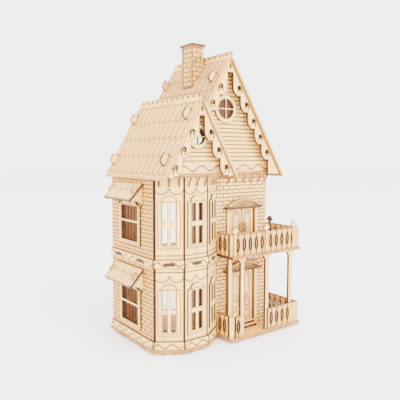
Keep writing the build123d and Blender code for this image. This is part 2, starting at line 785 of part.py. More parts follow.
# Porch posts behind the rail, each with curved brackets under the balcony
with BuildSketch() as post:
    add(box_face(0, 0, post_width, storey_height))
    for side in (-1, 1):
        edge = post_width / 2 + side * post_width / 2
        with BuildSketch() as bracket:
            with Locations((edge + side * post_bracket / 2, storey_height - post_bracket / 2)):
                Rectangle(post_bracket, post_bracket)
            with Locations((edge + side * post_bracket, storey_height - post_bracket)):
                Circle(post_bracket - 1.5, mode=Mode.SUBTRACT)
        add(bracket.sketch)
post_y = rail_y + trim_ply + slot_clearance
post_cuts = [(upright(front_x + x, post_y, 0, base_top), post.sketch, -ply)
             for x in post_from_left]
with BuildSketch() as end_post:
    add(box_face(0, 0, post_width, storey_height))
post_cuts.append((upright(rail_right - trim_ply - slot_clearance - post_width - post_bracket,
                          rail_back_y - trim_ply - ply - slot_clearance, 0, base_top),
                  post.sketch, -ply))
post_cuts.append((upright(rail_left + trim_ply + slot_clearance,
                          rail_y + rail_corner + ply, 0, base_top), end_post.sketch, -ply))
boards("porch_posts", post_cuts)

# Corbels: small S-shaped brackets under the attic floor
with BuildSketch() as corbel:
    with BuildLine():
        Polyline((0, 0), (corbel_reach, 0), (corbel_reach, -corbel_nose))
        Spline((corbel_reach, -corbel_nose), (corbel_reach * 0.5, -corbel_height * 0.5),
               (corbel_reach * 0.45, -corbel_height * 0.8), (0, -corbel_height),
               tangents=((0, -1), (-1, -0.2)))
        Line((0, -corbel_height), (0, 0))
    make_face()
corbel_cuts = []
for i in range(int(front_width / corbel_pitch)):
    x = house_width - corbel_from_right - corbel_pitch * i
    corbel_cuts.append((side_on(x, 0, attic_bottom), corbel.sketch, trim_ply))
for i in range(3):
    for j in (-1, 0, 1):
        middle = along(corner[i + 1], heading[i + 1],
                       bay_length[i] / 2 + j * bay_corbel_pitch + trim_ply / 2)
        corbel_cuts.append((side_on(*middle, attic_bottom, heading[i + 1]),
                            corbel.sketch, trim_ply))
boards("corbels", corbel_cuts)

# Roof panels, cut square and parted at the ridge by the comb, slotted for the hooks
roof_gap = {}
for key, pitch in (("small", small_pitch), ("main", main_pitch)):
    turn = radians(pitch)
    roof_gap[key] = (ply * sin(turn) + trim_ply / 2) / cos(turn) + slot_clearance
small_front_y = -bay_depth - small_verge
small_back_y = house_depth + small_roof_back
main_front_y = -main_verge
main_back_y = house_depth + main_roof_back
small_slope_length = (small_ridge_rise + eave_drop) / sin(radians(small_pitch))
main_slope_length = (main_ridge_rise + eave_drop) / sin(radians(main_pitch))
small_valley = (valley_x - small_ridge_x) / cos(radians(small_pitch))
main_valley = (main_ridge_x - valley_x) / cos(radians(main_pitch))
main_rafter_y = house_depth
small_rafter_y = main_rafter_y - ply - body_gap


def slope_plane(ridge_x, ridge_z, pitch, side, y):
    """A roof slope's top: local x along the ridge, local y down the slope."""
    turn = radians(pitch)
    return Plane(origin=(west + ridge_x, south + y, ridge_z),
                 x_dir=(0, -side, 0), z_dir=(side * sin(turn), 0, cos(turn)))


def hook_slot(along_ridge, down):
    """The slot for one hook: along_ridge is the middle of the gable that it comes from."""
    with BuildSketch() as face:
        with Locations((along_ridge, down + hook_length / 2)):
            Rectangle(ply + 2 * slot_clearance, hook_length + 2 * slot_clearance)
    return face.sketch


def roof_panel(label, key, side, outline, slots):
    """A roof board: outline pieces as (y0, y1, down0, down1), slots as (y, down)."""
    ridge_x, ridge_z, pitch = {"small": (small_ridge_x, small_ridge_z, small_pitch),
                               "main": (main_ridge_x, main_ridge_z, main_pitch)}[key]
    with BuildPart() as panel:
        with BuildSketch(slope_plane(ridge_x, ridge_z, pitch, side, 0)):
            for y0, y1, down0, down1 in outline:
                add(box_face(min(-side * y0, -side * y1), down0,
                             max(-side * y0, -side * y1), down1))
            for y, down in slots:
                add(hook_slot(-side * y, down), mode=Mode.SUBTRACT)
        extrude(amount=-ply)
    save(panel.part, label)


small_gable_mid = small_gable_y + ply / 2
main_gable_mid = main_gable_y + ply / 2
small_rafter_mid = small_rafter_y + ply / 2
main_rafter_mid = main_rafter_y + ply / 2
roof_panel("small_roof_left", "small", -1,
           [(small_front_y, small_back_y, roof_gap["small"], small_slope_length)],
           [(y, down) for y in (small_gable_mid, small_rafter_mid) for down in small_hooks])
roof_panel("small_roof_right", "small", 1,
           [(small_front_y, small_back_y, roof_gap["small"], small_valley - slot_clearance),
            (small_front_y, main_gable_y - body_gap, small_valley / 2, small_slope_length)],
           [(small_gable_mid, down) for down in small_hooks])
roof_panel("main_roof_left", "main", -1,
           [(main_front_y, main_back_y, roof_gap["main"], main_valley - body_gap)],
           [(y, main_hooks[0]) for y in (main_gable_mid, main_rafter_mid)])
roof_panel("main_roof_right", "main", 1,
           [(main_front_y, main_back_y, roof_gap["main"], main_slope_length)],
           [(y, down) for y in (main_gable_mid, main_rafter_mid) for down in main_hooks])

# One hook, square to the slope, from inside the gable's edge to beyond the roof
with BuildSketch() as hook:
    with BuildLine():
        Polyline((0, -ply - 1), (hook_length, -ply - 1), (hook_length, hook_stand * 0.4))
        ThreePointArc((hook_length, hook_stand * 0.4),
                      (hook_length * 0.92, hook_stand * 0.83), (hook_length * 0.74, hook_stand))
        Polyline((hook_length * 0.74, hook_stand), (0, hook_stand), (0, -ply - 1))
    make_face()


def add_hooks(ridge_x, ridge_rise, pitch, side, downs):
    """The hooks of one slope, placed in a gable's own sketch."""
    turn = radians(pitch)
    with BuildSketch() as face:
        for down in downs:
            spot = (ridge_x + down * cos(turn), ridge_rise - down * sin(turn))
            with Locations(Location(spot, -pitch)):
                add(hook.sketch)
        if side < 0:
            mirror(about=Plane.YZ.offset(ridge_x), mode=Mode.REPLACE)
    return face.sketch


def under(x, ridge_x, ridge_rise, slope, drop):
    """The height of a roof's underside at x, above the attic floor."""
    return ridge_rise - drop - slot_clearance - slope * abs(x - ridge_x)


def foot_x(ridge_x, ridge_rise, slope, drop, side):
    """Where a roof's underside meets the attic floor."""
    return ridge_x + side * (ridge_rise - drop - slot_clearance) / slope


def comb_notch(ridge_x, ridge_rise):
    """The notch that lets a gable's peak clear the ridge comb."""
    half = trim_ply / 2 + slot_clearance
    return box_face(ridge_x - half, ridge_rise - comb_drop - slot_clearance,
                    ridge_x + half, ridge_rise + comb_drop)


small_left_foot = foot_x(small_ridge_x, small_ridge_rise, small_slope, small_drop, -1)
small_right_foot = foot_x(small_ridge_x, small_ridge_rise, small_slope, small_drop, 1)
main_left_foot = foot_x(main_ridge_x, main_ridge_rise, main_slope, main_drop, -1)
main_right_foot = foot_x(main_ridge_x, main_ridge_rise, main_slope, main_drop, 1)
small_peak = small_ridge_rise - small_drop - slot_clearance
main_peak = main_ridge_rise - main_drop - slot_clearance

# Small gable over the bay
with BuildPart() as small_gable:
    with BuildSketch(upright(0, small_gable_y, 0, attic_top)):
        Polygon((small_left_foot, 0), (small_right_foot, 0), (small_ridge_x, small_peak),
                align=None)
        add(add_hooks(small_ridge_x, small_ridge_rise, small_pitch, -1, small_hooks))
        add(add_hooks(small_ridge_x, small_ridge_rise, small_pitch, 1, small_hooks))
        for x in gable_tabs_small:
            add(box_face(x - tab_width / 2, -ply, x + tab_width / 2, 0))
        with Locations((small_ridge_x, small_ridge_rise - small_round_drop)):
            Circle(small_round, mode=Mode.SUBTRACT)
        add(comb_notch(small_ridge_x, small_ridge_rise), mode=Mode.SUBTRACT)
    extrude(amount=-ply)
save(small_gable.part, "small_gable")

# Main gable over the door: its left edge follows the small roof down from the valley
meet_x = (small_peak - main_peak + small_slope * small_ridge_x
          + main_slope * main_ridge_x) / (small_slope + main_slope)
meet_z = under(meet_x, main_ridge_x, main_ridge_rise, main_slope, main_drop)
gable_end = house_width + attic_side
with BuildPart() as main_gable:
    with BuildSketch(upright(0, main_gable_y, 0, attic_top)):
        Polygon((small_right_foot, 0), (gable_end, 0),
                (gable_end, under(gable_end, main_ridge_x, main_ridge_rise, main_slope,
                                  main_drop)),
                (main_ridge_x, main_peak), (meet_x, meet_z), align=None)
        add(add_hooks(main_ridge_x, main_ridge_rise, main_pitch, -1, main_hooks[:1]))
        add(add_hooks(main_ridge_x, main_ridge_rise, main_pitch, 1, main_hooks))
        for x in gable_tabs_main:
            add(box_face(x - tab_width / 2, -ply, x + tab_width / 2, 0))
        with Locations((main_ridge_x, main_ridge_rise - main_round_drop)):
            Circle(main_round, mode=Mode.SUBTRACT)
        add(comb_notch(main_ridge_x, main_ridge_rise), mode=Mode.SUBTRACT)
    extrude(amount=-ply)
save(main_gable.part, "main_gable")

# Round windows: a ring with a cross, over each gable's opening
round_cuts = []
for x, y, rise, radius in (
        (small_ridge_x, small_gable_y, small_ridge_rise - small_round_drop, small_round),
        (main_ridge_x, main_gable_y, main_ridge_rise - main_round_drop, main_round)):
    with BuildSketch() as ring:
        with Locations((x, rise)):
            Circle(radius + round_frame)
            Circle(radius, mode=Mode.SUBTRACT)
            Rectangle(2 * radius + 1, round_bar)
            Rectangle(round_bar, 2 * radius + 1)
    round_cuts.append((upright(0, y, 0, attic_top), ring.sketch, trim_ply))
boards("round_windows", round_cuts)

# Rafters: an open A-frame at the back of each roof
for label, y, ridge_x, rise, peak, slope, pitch, feet_x, sides in (
        ("small_rafter", small_rafter_y, small_ridge_x, small_ridge_rise, small_peak,
         small_slope, small_pitch, (small_left_foot, small_right_foot),
         ((-1, small_hooks),)),
        ("main_rafter", main_rafter_y, main_ridge_x, main_ridge_rise, main_peak,
         main_slope, main_pitch, (main_left_foot, main_right_foot),
         ((-1, main_hooks[:1]), (1, main_hooks)))):
    right_end = min(feet_x[1], gable_end)
    inner = rafter_width / cos(radians(pitch))
    run = (peak - inner) / slope
    with BuildPart() as rafter:
        with BuildSketch(upright(0, y, 0, attic_top)):
            Polygon((feet_x[0], 0), (right_end, 0),
                    (right_end, under(right_end, ridge_x, peak, slope, -slot_clearance)),
                    (ridge_x, peak), align=None)
            Polygon((ridge_x - run, -1), (ridge_x + run, -1), (ridge_x, peak - inner),
                    align=None, mode=Mode.SUBTRACT)
            for side, downs in sides:
                add(add_hooks(ridge_x, rise, pitch, side, downs))
            add(comb_notch(ridge_x, rise), mode=Mode.SUBTRACT)
        extrude(amount=-ply)
    save(rafter.part, label)

# Ridge combs: upright boards along the ridges, with a lobed top
comb_cuts = []
for ridge_x, ridge_z, front, back in (
        (small_ridge_x, small_ridge_z, small_front_y, small_back_y),
        (main_ridge_x, main_ridge_z, main_front_y, main_back_y)):
    count = int((back - front) / comb_pitch)
    with BuildSketch() as comb:
        add(box_face(front, -comb_drop, back, comb_rise - comb_lobe))
        for i in range(count):
            with Locations((front + comb_pitch * (i + 0.5), comb_rise - comb_lobe)):
                Circle(comb_lobe)
        for i in range(1, count, 2):
            with Locations((front + comb_pitch * i, comb_rise - 1.6 * comb_lobe)):
                Circle(comb_lobe * 0.35, mode=Mode.SUBTRACT)
    comb_cuts.append((Plane(origin=(west + ridge_x - trim_ply / 2, south, ridge_z),
                            x_dir=(0, 1, 0), z_dir=(1, 0, 0)), comb.sketch, trim_ply))
boards("ridge_combs", comb_cuts)


def scroll_face(pitch, peak, count):
    """Half a bargeboard to the right of its peak. Its inner edge goes down in steps: each a
    straight riser that rounds into a scroll and ends in a cusp, with an eye above it."""
    turn = radians(pitch)
    step = (scroll_pitch * cos(turn), scroll_pitch * sin(turn))
    cusps = [(scroll_first * cos(turn) - scroll_depth * sin(turn) + i * step[0],
              peak - scroll_first * sin(turn) - scroll_depth * cos(turn) - i * step[1])
             for i in range(-1, count)]
    inner_x = cusps[0][0]
    apex_z = peak - apex_drop
    with BuildSketch() as half:
        with BuildLine():
            Polyline((0, peak), (0, apex_z), (inner_x, apex_z),
                     (inner_x, cusps[0][1] - scroll_riser * step[1]))
            for (x, z), cusp in zip(cusps, cusps[1:]):
                Spline((x, z - scroll_riser * step[1]),
                       (x + 0.13 * step[0], z - 0.76 * step[1]),
                       (x + 0.42 * step[0], z - 0.965 * step[1]), cusp,
                       tangents=((0, -1), (1, 0.3)))
            for x, z in cusps[1:-1]:
                Line((x, z), (x, z - scroll_riser * step[1]))
            Polyline(cusps[-1], (cusps[-1][0], -ply), ((peak + ply) / tan(turn), -ply),
                     (0, peak))
        make_face()
        with Locations((inner_x / 2, apex_z)):
            Circle(inner_x / 2 - body_gap, mode=Mode.SUBTRACT)
        with Locations((0, peak - apex_drop_hole)):
            add(lens_face(0.4 * eye_width, eye_height), mode=Mode.SUBTRACT)
        for x, z in cusps[1:]:
            with BuildSketch(mode=Mode.PRIVATE) as eye:
                with Locations((x - eye_out, z + eye_up)):
                    Ellipse(eye_width / 2, eye_height / 2)
                with BuildLine():
                    top = (x - 0.5 * eye_out, z + eye_up + 0.45 * eye_height)
                    low = (x + 0.1 * tail_reach, z + 0.2 * eye_up)
                    ThreePointArc(top, (x + tail_reach, z + 0.75 * eye_up), low)
                    ThreePointArc(low, (x + 0.4 * tail_reach, z + 0.75 * eye_up), top)
                make_face()
            add(eye.sketch, mode=Mode.SUBTRACT)
    return half.sketch


def bargeboard(label, ridge_x, y, pitch, rise, peak, count, cut=None):
    """A pair of scrolled boards that meet at the peak, in front of a gable."""
    with BuildPart() as barge:
        with BuildSketch(upright(ridge_x, y, 0, attic_top)):
            half = scroll_face(pitch, peak, count)
            add(half)
            mirror(half, about=Plane.YZ)
            add(comb_notch(0, rise), mode=Mode.SUBTRACT)
            if cut is not None:
                add(cut, mode=Mode.SUBTRACT)
        extrude(amount=-ply)
    save(barge.part, label)


small_barge_y = small_gable_y - small_barge_gap - ply
main_barge_y = main_gable_y - main_barge_gap - ply
bargeboard("small_bargeboard", small_ridge_x, small_barge_y, small_pitch,
           small_ridge_rise, small_peak, small_scrolls)
with BuildSketch() as roof_cut:
    left_x = small_ridge_x - main_ridge_x
    top = small_ridge_rise + body_gap / cos(radians(small_pitch))
    low = top - small_slope * house_width
    Polygon((left_x, top), (left_x + house_width, low), (left_x - house_width, low),
            (left_x - house_width, top), align=None)
bargeboard("main_bargeboard", main_ridge_x, main_barge_y, main_pitch,
           main_ridge_rise, main_peak, main_scrolls, roof_cut.sketch)

# Chimney: four boards on the main roof's left slope, under a cap
chimney_x = main_ridge_x - chimney_from_ridge
chimney_top = main_ridge_z + chimney_above - ply
chimney_low = main_ridge_z - main_slope * (main_ridge_x - chimney_x)
roof_surface = Plane(origin=(west + main_ridge_x, south, main_ridge_z + slot_clearance),
                     x_dir=(0, 1, 0),
                     z_dir=(-sin(radians(main_pitch)), 0, cos(radians(main_pitch))))
chimney_tall = chimney_top - chimney_low
with BuildPart() as chimney_stack:
    inner_depth = chimney_depth - 2 * ply - 2 * slot_clearance
    for y in (chimney_y, chimney_y + chimney_depth - ply):
        with BuildSketch(level(chimney_low)):
            add(box_face(chimney_x, y, chimney_x + chimney_width, y + ply))
        extrude(amount=chimney_tall)
    for x in (chimney_x, chimney_x + chimney_width - ply):
        with BuildSketch(level(chimney_low)):
            y = chimney_y + ply + slot_clearance
            add(box_face(x, y, x + ply, y + inner_depth))
        extrude(amount=chimney_tall)
    split(bisect_by=roof_surface, keep=Keep.TOP)
save(chimney_stack.part, "chimney_stack")

with BuildPart() as chimney_cap:
    with BuildSketch(level(chimney_top)):
        add(box_face(chimney_x - cap_overhang, chimney_y - cap_overhang,
                     chimney_x + chimney_width + cap_overhang,
                     chimney_y + chimney_depth + cap_overhang))
    extrude(amount=ply)
save(chimney_cap.part, "chimney_cap")
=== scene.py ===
import bpy
import numpy as np
from math import asin, atan2, cos, pi, radians, sin, sqrt
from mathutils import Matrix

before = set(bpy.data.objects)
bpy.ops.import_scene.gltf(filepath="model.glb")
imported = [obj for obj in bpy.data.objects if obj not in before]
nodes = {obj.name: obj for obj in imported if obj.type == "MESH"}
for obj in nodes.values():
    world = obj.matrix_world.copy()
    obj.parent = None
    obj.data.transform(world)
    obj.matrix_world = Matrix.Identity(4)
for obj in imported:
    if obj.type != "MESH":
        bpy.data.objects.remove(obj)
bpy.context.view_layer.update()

# A plywood dollhouse kit: boards cut and engraved by a laser, slotted together unpainted.
# Patterns are drawn in millimetres from the house's own corner: x along the front wall from
# the left wall's face, y back from the front wall's face, z up from the table.
origin = (96.4, 38.25, 0.0)      # the frame's origin, from that corner
floor_tops = (6.0, 107.0)        # the two storeys' floors
attic_top = 208.0
bay_run = 28.9                   # each slanting bay board, along x
bay_middle = 33.9                # the bay's front board
bay_depth = 19.0
front_x = 2 * bay_run + bay_middle
door_x = 134.6                   # where the two leaves of a door meet
small_ridge_x = 47.3
main_ridge_x = 105.0


# ---------------------------------------------------------------------------------------
# Floors: three flat sheets of 3 mm birch plywood. Their slots were cut right through by the
# laser, and the porch and balcony are scored with planks that run front to back.

def paint(text):
    """A colour from its sRGB hex: each channel is divided by 255 and taken to linear light."""
    values = np.array([int(text[i:i + 2], 16) for i in (0, 2, 4)]) / 255
    linear = np.where(values <= 0.04045, values / 12.92, ((values + 0.055) / 1.055) ** 2.4)
    return (*linear, 1.0)


def add(tree, kind, *inputs, out=0, **settings):
    """Adds one shader node, with its settings and its inputs in order, and gives an output."""
    node = tree.nodes.new("ShaderNode" + kind)
    for name, value in settings.items():
        setattr(node, name, value)
    for socket, value in zip(node.inputs, inputs):
        if isinstance(value, bpy.types.NodeSocket):
            tree.links.new(value, socket)
        elif value is not None:
            socket.default_value = value
    return node.outputs[out]


def ruler(tree, place, way, start=0.0):
    """How far a point lies along a direction from a start: their dot product, less the start."""
    reach = add(tree, "VectorMath", place, way, operation="DOT_PRODUCT", out="Value")
    return add(tree, "Math", reach, start, operation="SUBTRACT")


def rows(tree, reach, pitch):
    """The distance to the nearest of a row of parallel lines, one every pitch."""
    return add(tree, "Math", reach, pitch / 2, operation="PINGPONG")


def apart(tree, value, level):
    """How far a value is from a level, either way."""
    return add(tree, "Math", add(tree, "Math", value, level, operation="SUBTRACT"),
               operation="ABSOLUTE")


def reach_of(tree, across, rise):
    """How far a point lies from the spot where both its distances are nought."""
    return add(tree, "VectorMath", add(tree, "CombineXYZ", across, rise), operation="LENGTH",
               out="Value")


def nearest(tree, first, *others):
    """The smallest of several distances."""
    for other in others:
        first = add(tree, "Math", first, other, operation="MINIMUM")
    return first


def only(tree, distance, value, low, high):
    """A distance where a value lies between low and high, and far from any line elsewhere."""
    far = 99.0
    inside = add(tree, "Math", value, (low + high) / 2, (high - low) / 2, operation="COMPARE")
    outside = add(tree, "Math", 1.0, inside, operation="SUBTRACT")
    return add(tree, "Math", outside, far, distance, operation="MULTIPLY_ADD")


# Birch plywood, sanded and left raw: a pale cream veneer with fine long grain, matt, with an
# index of refraction of about 1.5. The laser leaves thin brown lines and toasted edges.
VENEER = paint("f6cb76")
HONEY = paint("e6b156")
SCORE = paint("3a2416")
TOAST = paint("b87c38")
CHAR = paint("20140c")
CORE = paint("6a4424")
TOASTED = (CORE, TOAST)          # a cut edge that is only browned
LIES_FLAT = 0.75                 # a face is veneer above this cosine, and a cut edge below
HALO = 1.6                       # how far the toast reaches from an engraved line, in mm
BLUR = 0.35                      # how far a line takes to fade, in mm


def plywood(name, facing, engraved=None, inner=None, grain=(0, 0, 1), face=VENEER,
            streak=HONEY, edge=(CHAR, CORE), line=0.42, shade_behind=0.0):
    """Raw birch plywood for one kind of board. Where the surface lies along the board's
    facing it is veneer: two stretched noises, one for the figure and one for the fine grain.
    Lines are dark within half their width of an engraved distance, with a toasted halo. The
    far side is darkened towards the core's brown by a share, as painted shade on hidden
    undersides and backs. Elsewhere it is the cut edge, charred,
    with the plies as bands."""
    material = bpy.data.materials.new(name)
    material.use_nodes = True
    tree = material.node_tree
    tree.nodes.clear()
    where = add(tree, "TexCoord", out="Object")
    normal = add(tree, "TexCoord", out="Normal")
    place = add(tree, "VectorMath", where, (1000, 1000, 1000), origin,
                operation="MULTIPLY_ADD")
    if callable(facing):
        lies = facing(tree, place, normal)
        depth = ruler(tree, place, (1, 1, 0))
    else:
        lies = add(tree, "VectorMath", normal, facing, operation="DOT_PRODUCT", out="Value")
        depth = ruler(tree, place, facing)
    flat = add(tree, "Math", add(tree, "Math", lies, operation="ABSOLUTE"), LIES_FLAT,
               operation="GREATER_THAN")
    outer = add(tree, "Math", lies, LIES_FLAT, operation="GREATER_THAN")

    # Veneer: figure a few millimetres wide and 40 long, grain 0.5 mm wide and 12 long
    along = tuple(0.16 - 0.135 * abs(g) for g in grain)
    fine = tuple(1.6 - 1.5 * abs(g) for g in grain)
    figure = add(tree, "TexNoise", add(tree, "VectorMath", place, along, operation="MULTIPLY"),
                 None, 1.0, 3.0, 0.55)
    fibre = add(tree, "TexNoise", add(tree, "VectorMath", place, fine, operation="MULTIPLY"),
                None, 1.0, 2.0, 0.6)
    figure = add(tree, "MapRange", figure, 0.35, 0.7, 0.0, 1.0)
    wood = add(tree, "MixRGB", figure, face, streak)
    shade = add(tree, "MapRange", fibre, 0.3, 0.7, 0.94, 1.03)
    wood = add(tree, "VectorMath", wood, add(tree, "CombineXYZ", shade, shade, shade),
               operation="MULTIPLY")

    hidden = add(tree, "Math", flat, outer, operation="SUBTRACT")
    # Painted shade: the far side is mixed towards the core's brown by a share, on the undersides
    # of the roofs and the backs of the gables.
    wood = add(tree, "MixRGB", add(tree, "Math", hidden, shade_behind, operation="MULTIPLY"), wood,
               CORE)
    height = fibre
    for pattern, side in ((engraved, outer), (inner, hidden)):
        if pattern is None:
            continue
        distance = pattern(tree, place, normal)
        halo = add(tree, "MapRange", distance, line, HALO, 0.42, 0.0)
        halo = add(tree, "Math", halo, side, operation="MULTIPLY")
        wood = add(tree, "MixRGB", halo, wood, TOAST)
        burnt = add(tree, "MapRange", distance, line, line + BLUR, 0.92, 0.0)
        burnt = add(tree, "Math", burnt, side, operation="MULTIPLY")
        wood = add(tree, "MixRGB", burnt, wood, SCORE)
        height = add(tree, "Math", burnt, -2.0, height, operation="MULTIPLY_ADD")

    # Toasted rim beside every cut, found from how near the board's edge is, and a dark line
    # at the very edge
    rim = add(tree, "AmbientOcclusion", (1, 1, 1, 1), 0.0012, out="AO", samples=8,
              inside=True, only_local=True)
    wood = add(tree, "MixRGB", add(tree, "MapRange", rim, 0.6, 0.99, 0.8, 0.0), wood, TOAST)
    wood = add(tree, "MixRGB", add(tree, "MapRange", rim, 0.62, 0.88, 0.92, 0.0), wood, SCORE)

    # Cut edge: plies 1 mm thick, their glue lines darker, blackened more in some stretches
    plies = add(tree, "Math", depth, 1.0, operation="PINGPONG")
    plies = add(tree, "MapRange", plies, 0.15, 0.5, 0.0, 1.0)
    patches = add(tree, "TexNoise", place, None, 0.12, 2.0, 0.5)
    patches = add(tree, "MapRange", patches, 0.35, 0.65, 0.25, 0.9)
    burn = add(tree, "Math", plies, patches, operation="MULTIPLY")
    if callable(edge):
        edge = edge(tree, place)
    cut = add(tree, "MixRGB", burn, edge[0], edge[1])
    colour = add(tree, "MixRGB", flat, cut, wood)

    relief = add(tree, "Bump", 0.35, 0.0002, 1.0, height)
    shader = tree.nodes.new("ShaderNodeBsdfPrincipled")
    shader.inputs["Roughness"].default_value = 0.62
    shader.inputs["IOR"].default_value = 1.5
    shader.inputs["Specular IOR Level"].default_value = 0.3
    tree.links.new(colour, shader.inputs["Base Color"])
    tree.links.new(relief, shader.inputs["Normal"])
    output = tree.nodes.new("ShaderNodeOutputMaterial")
    tree.links.new(shader.outputs[0], output.inputs[0])
    return material


def finish(material, *names):
    """Gives a finish to the boards of that kind."""
    for name in names:
        board = nodes[name]
        board.data.materials.clear()
        board.data.materials.append(material)


def porch_planks(tree, place, normal):
    """Scored planks: lines across the front, one every 7.5 mm."""
    return rows(tree, ruler(tree, place, (1, 0, 0)), 7.5)


def floor_edge(tree, place):
    """A floor's cut edge: toasted on the porch and the balcony, and charred at the ends of
    the tabs that show in the slots of the left wall and the bay."""
    tab = add(tree, "Math", ruler(tree, place, (1, 0, 0)), front_x + 0.3,
              operation="LESS_THAN")
    middle = add(tree, "Math", ruler(tree, place, (0, 0, 1)), floor_tops[1] - 1.5, 5.0,
                 operation="COMPARE")
    tab = add(tree, "Math", tab, middle, operation="MULTIPLY")
    return (add(tree, "MixRGB", tab, paint("7c4c1e"), SCORE),
            add(tree, "MixRGB", tab, paint("c8914a"), SCORE))


# The floors' veneer is painted darker and more orange than the walls': painted shade for the
# porch floor under the balcony.
finish(plywood("birch_floor_scored", (0, 0, 1), porch_planks, grain=(0, 1, 0),
               face=paint("efb150"), streak=paint("dc9b3c"), edge=floor_edge),
       "base_plate", "middle_floor", "attic_floor")


# ---------------------------------------------------------------------------------------
# Outer walls: 3 mm plywood boards, with bricks engraved on the outside in running bond and
# upright stripes scored on the inside. They stand in slots of the floors.

def bricks(tree, along, up, course=4.75, length=10.6):
    """Running bond: lines between the courses, and between bricks that shift by half a brick
    on every other course."""
    odd = add(tree, "Math", add(tree, "Math", up, course, operation="DIVIDE"),
              operation="FLOOR")
    odd = add(tree, "Math", odd, 1.0, operation="PINGPONG")
    shifted = add(tree, "Math", odd, length / 2, along, operation="MULTIPLY_ADD")
    return nearest(tree, rows(tree, up, course), rows(tree, shifted, length))


def side_bricks(tree, place, normal):
    """Bricks on a wall that runs front to back."""
    return bricks(tree, ruler(tree, place, (0, 1, 0), 0.7), ruler(tree, place, (0, 0, 1), 1.2))


def front_bricks(tree, place, normal):
    """Bricks on a wall that runs left to right."""
    return bricks(tree, ruler(tree, place, (1, 0, 0), 2.1), ruler(tree, place, (0, 0, 1), 1.2))


def side_stripes(tree, place, normal):
    """Upright lines every 4.5 mm, on a wall that runs front to back."""
    return rows(tree, ruler(tree, place, (0, 1, 0)), 4.5)


def front_stripes(tree, place, normal):
    """Upright lines every 4.5 mm, on a wall that runs left to right."""
    return rows(tree, ruler(tree, place, (1, 0, 0)), 4.5)


# The left wall's veneer is painted darker and more orange than the other outer walls': painted
# shade on the side that faces away from the light.
finish(plywood("birch_brick_left_shaded", (-1, 0, 0), side_bricks, side_stripes,
               face=paint("e8a83e"), streak=paint("d69430")), "left_wall")
finish(plywood("birch_brick_right", (1, 0, 0), side_bricks, side_stripes),
       "right_wall_lower", "right_wall_upper")
finish(plywood("birch_brick_front", (0, -1, 0), front_bricks, front_stripes),
       "front_wall_lower", "front_wall_upper")


# ---------------------------------------------------------------------------------------
# Inner walls: plain plywood boards between the rooms, scored with fine stripes on both
# sides. Their veneer is painted darker and greyer than the outer boards', as painted shade
# inside the rooms.

shaded_inner_veneer = {"line": 0.12, "face": paint("c4a890"), "streak": paint("b4987e")}
finish(plywood("birch_partition", (1, 0, 0), side_stripes, side_stripes, **shaded_inner_veneer),
       "partition_lower", "partition_upper")
finish(plywood("birch_back_panel", (0, -1, 0), front_stripes, front_stripes, **shaded_inner_veneer),
       "back_panel_lower", "back_panel_upper")


# ---------------------------------------------------------------------------------------
# Bay: three upright plywood boards at an angle, as tall as two storeys. Each is engraved
# with two scallops under each floor and with lines above and below the mid strip.

bay_turn = asin(bay_depth / sqrt(bay_run ** 2 + bay_depth ** 2))


def scallops(tree, along, up, cell, bottom, cusp):
    """Arcs that hang side by side: the distance to a circle through the two cusps and the
    bottom of each cell, drawn only below the cusps."""
    half = cell / 2
    radius = (half ** 2 + (cusp - bottom) ** 2) / (2 * (cusp - bottom))
    across = rows(tree, add(tree, "Math", along, half, operation="ADD"), cell)
    rise = add(tree, "Math", up, bottom + radius, operation="SUBTRACT")
    gap = apart(tree, reach_of(tree, across, rise), radius)
    return only(tree, gap, up, bottom - 1, cusp)


def at(tree, up, *levels):
    """The distance to the nearest of several straight lines."""
    return nearest(tree, *[apart(tree, up, level) for level in levels])


def bay_engraving(way, middle, cell):
    """The scallops and lines of one bay board, about its own middle line."""
    def drawing(tree, place, normal):
        along = ruler(tree, place, way, middle)
        up = ruler(tree, place, (0, 0, 1))
        return nearest(tree, scallops(tree, along, up, cell, 84.8, 92.2),
                       scallops(tree, along, up, cell, 185.6, 193.0),
                       at(tree, up, 96.2, 115.4))
    return drawing


for name, turn, x, y, length in (
        ("bay_panel_left", -bay_turn, bay_run / 2, -bay_depth / 2, 34.6),
        ("bay_panel_middle", 0.0, front_x / 2, -bay_depth, bay_middle),
        ("bay_panel_right", bay_turn, front_x - bay_run / 2, -bay_depth / 2, 34.6)):
    way = (cos(turn), sin(turn), 0)
    middle = way[0] * x + way[1] * y
    finish(plywood("birch_" + name, (sin(turn), -cos(turn), 0),
                   bay_engraving(way, middle, length / 2)), name)


# ---------------------------------------------------------------------------------------
# Plinth and mid strips: 2 mm plywood glued round the left wall and the bay, engraved with a
# running wave. The charred top edge reads as a dark line.

def run_along(tree, place, normal):
    """The distance along an upright board of any heading: its place's dot product with the
    face's normal, turned a quarter turn in plan."""
    x, y = add(tree, "SeparateXYZ", normal).node.outputs[:2]
    back = add(tree, "Math", y, -1.0, operation="MULTIPLY")
    way = add(tree, "CombineXYZ", back, x)
    return add(tree, "VectorMath", place, way, operation="DOT_PRODUCT", out="Value")


def wave(tree, along, up, level, swing, length):
    """The distance to a sine line, measured upright and shortened for its slope."""
    turn = add(tree, "Math", along, 2 * pi / length, operation="MULTIPLY")
    line = add(tree, "Math", add(tree, "Math", turn, operation="SINE"), swing, level,
               operation="MULTIPLY_ADD")
    shortened = 0.75
    return add(tree, "Math", apart(tree, up, line), shortened, operation="MULTIPLY")


def wall_turn(tree, place):
    """The heading of the wall beside a point: turned one way or the other beside the bay's
    slanting boards, by where the point lies along the front, and straight elsewhere."""
    x = ruler(tree, place, (1, 0, 0))
    right = add(tree, "Math", x, bay_run + bay_middle + 0.6, operation="GREATER_THAN")
    left = add(tree, "Math", x, bay_run - 0.6, operation="LESS_THAN")
    front = add(tree, "Math", x, front_x + 0.8, operation="GREATER_THAN")
    turn = add(tree, "Math", right, add(tree, "Math", left, front, operation="ADD"),
               operation="SUBTRACT")
    return add(tree, "Math", turn, bay_turn, operation="MULTIPLY")


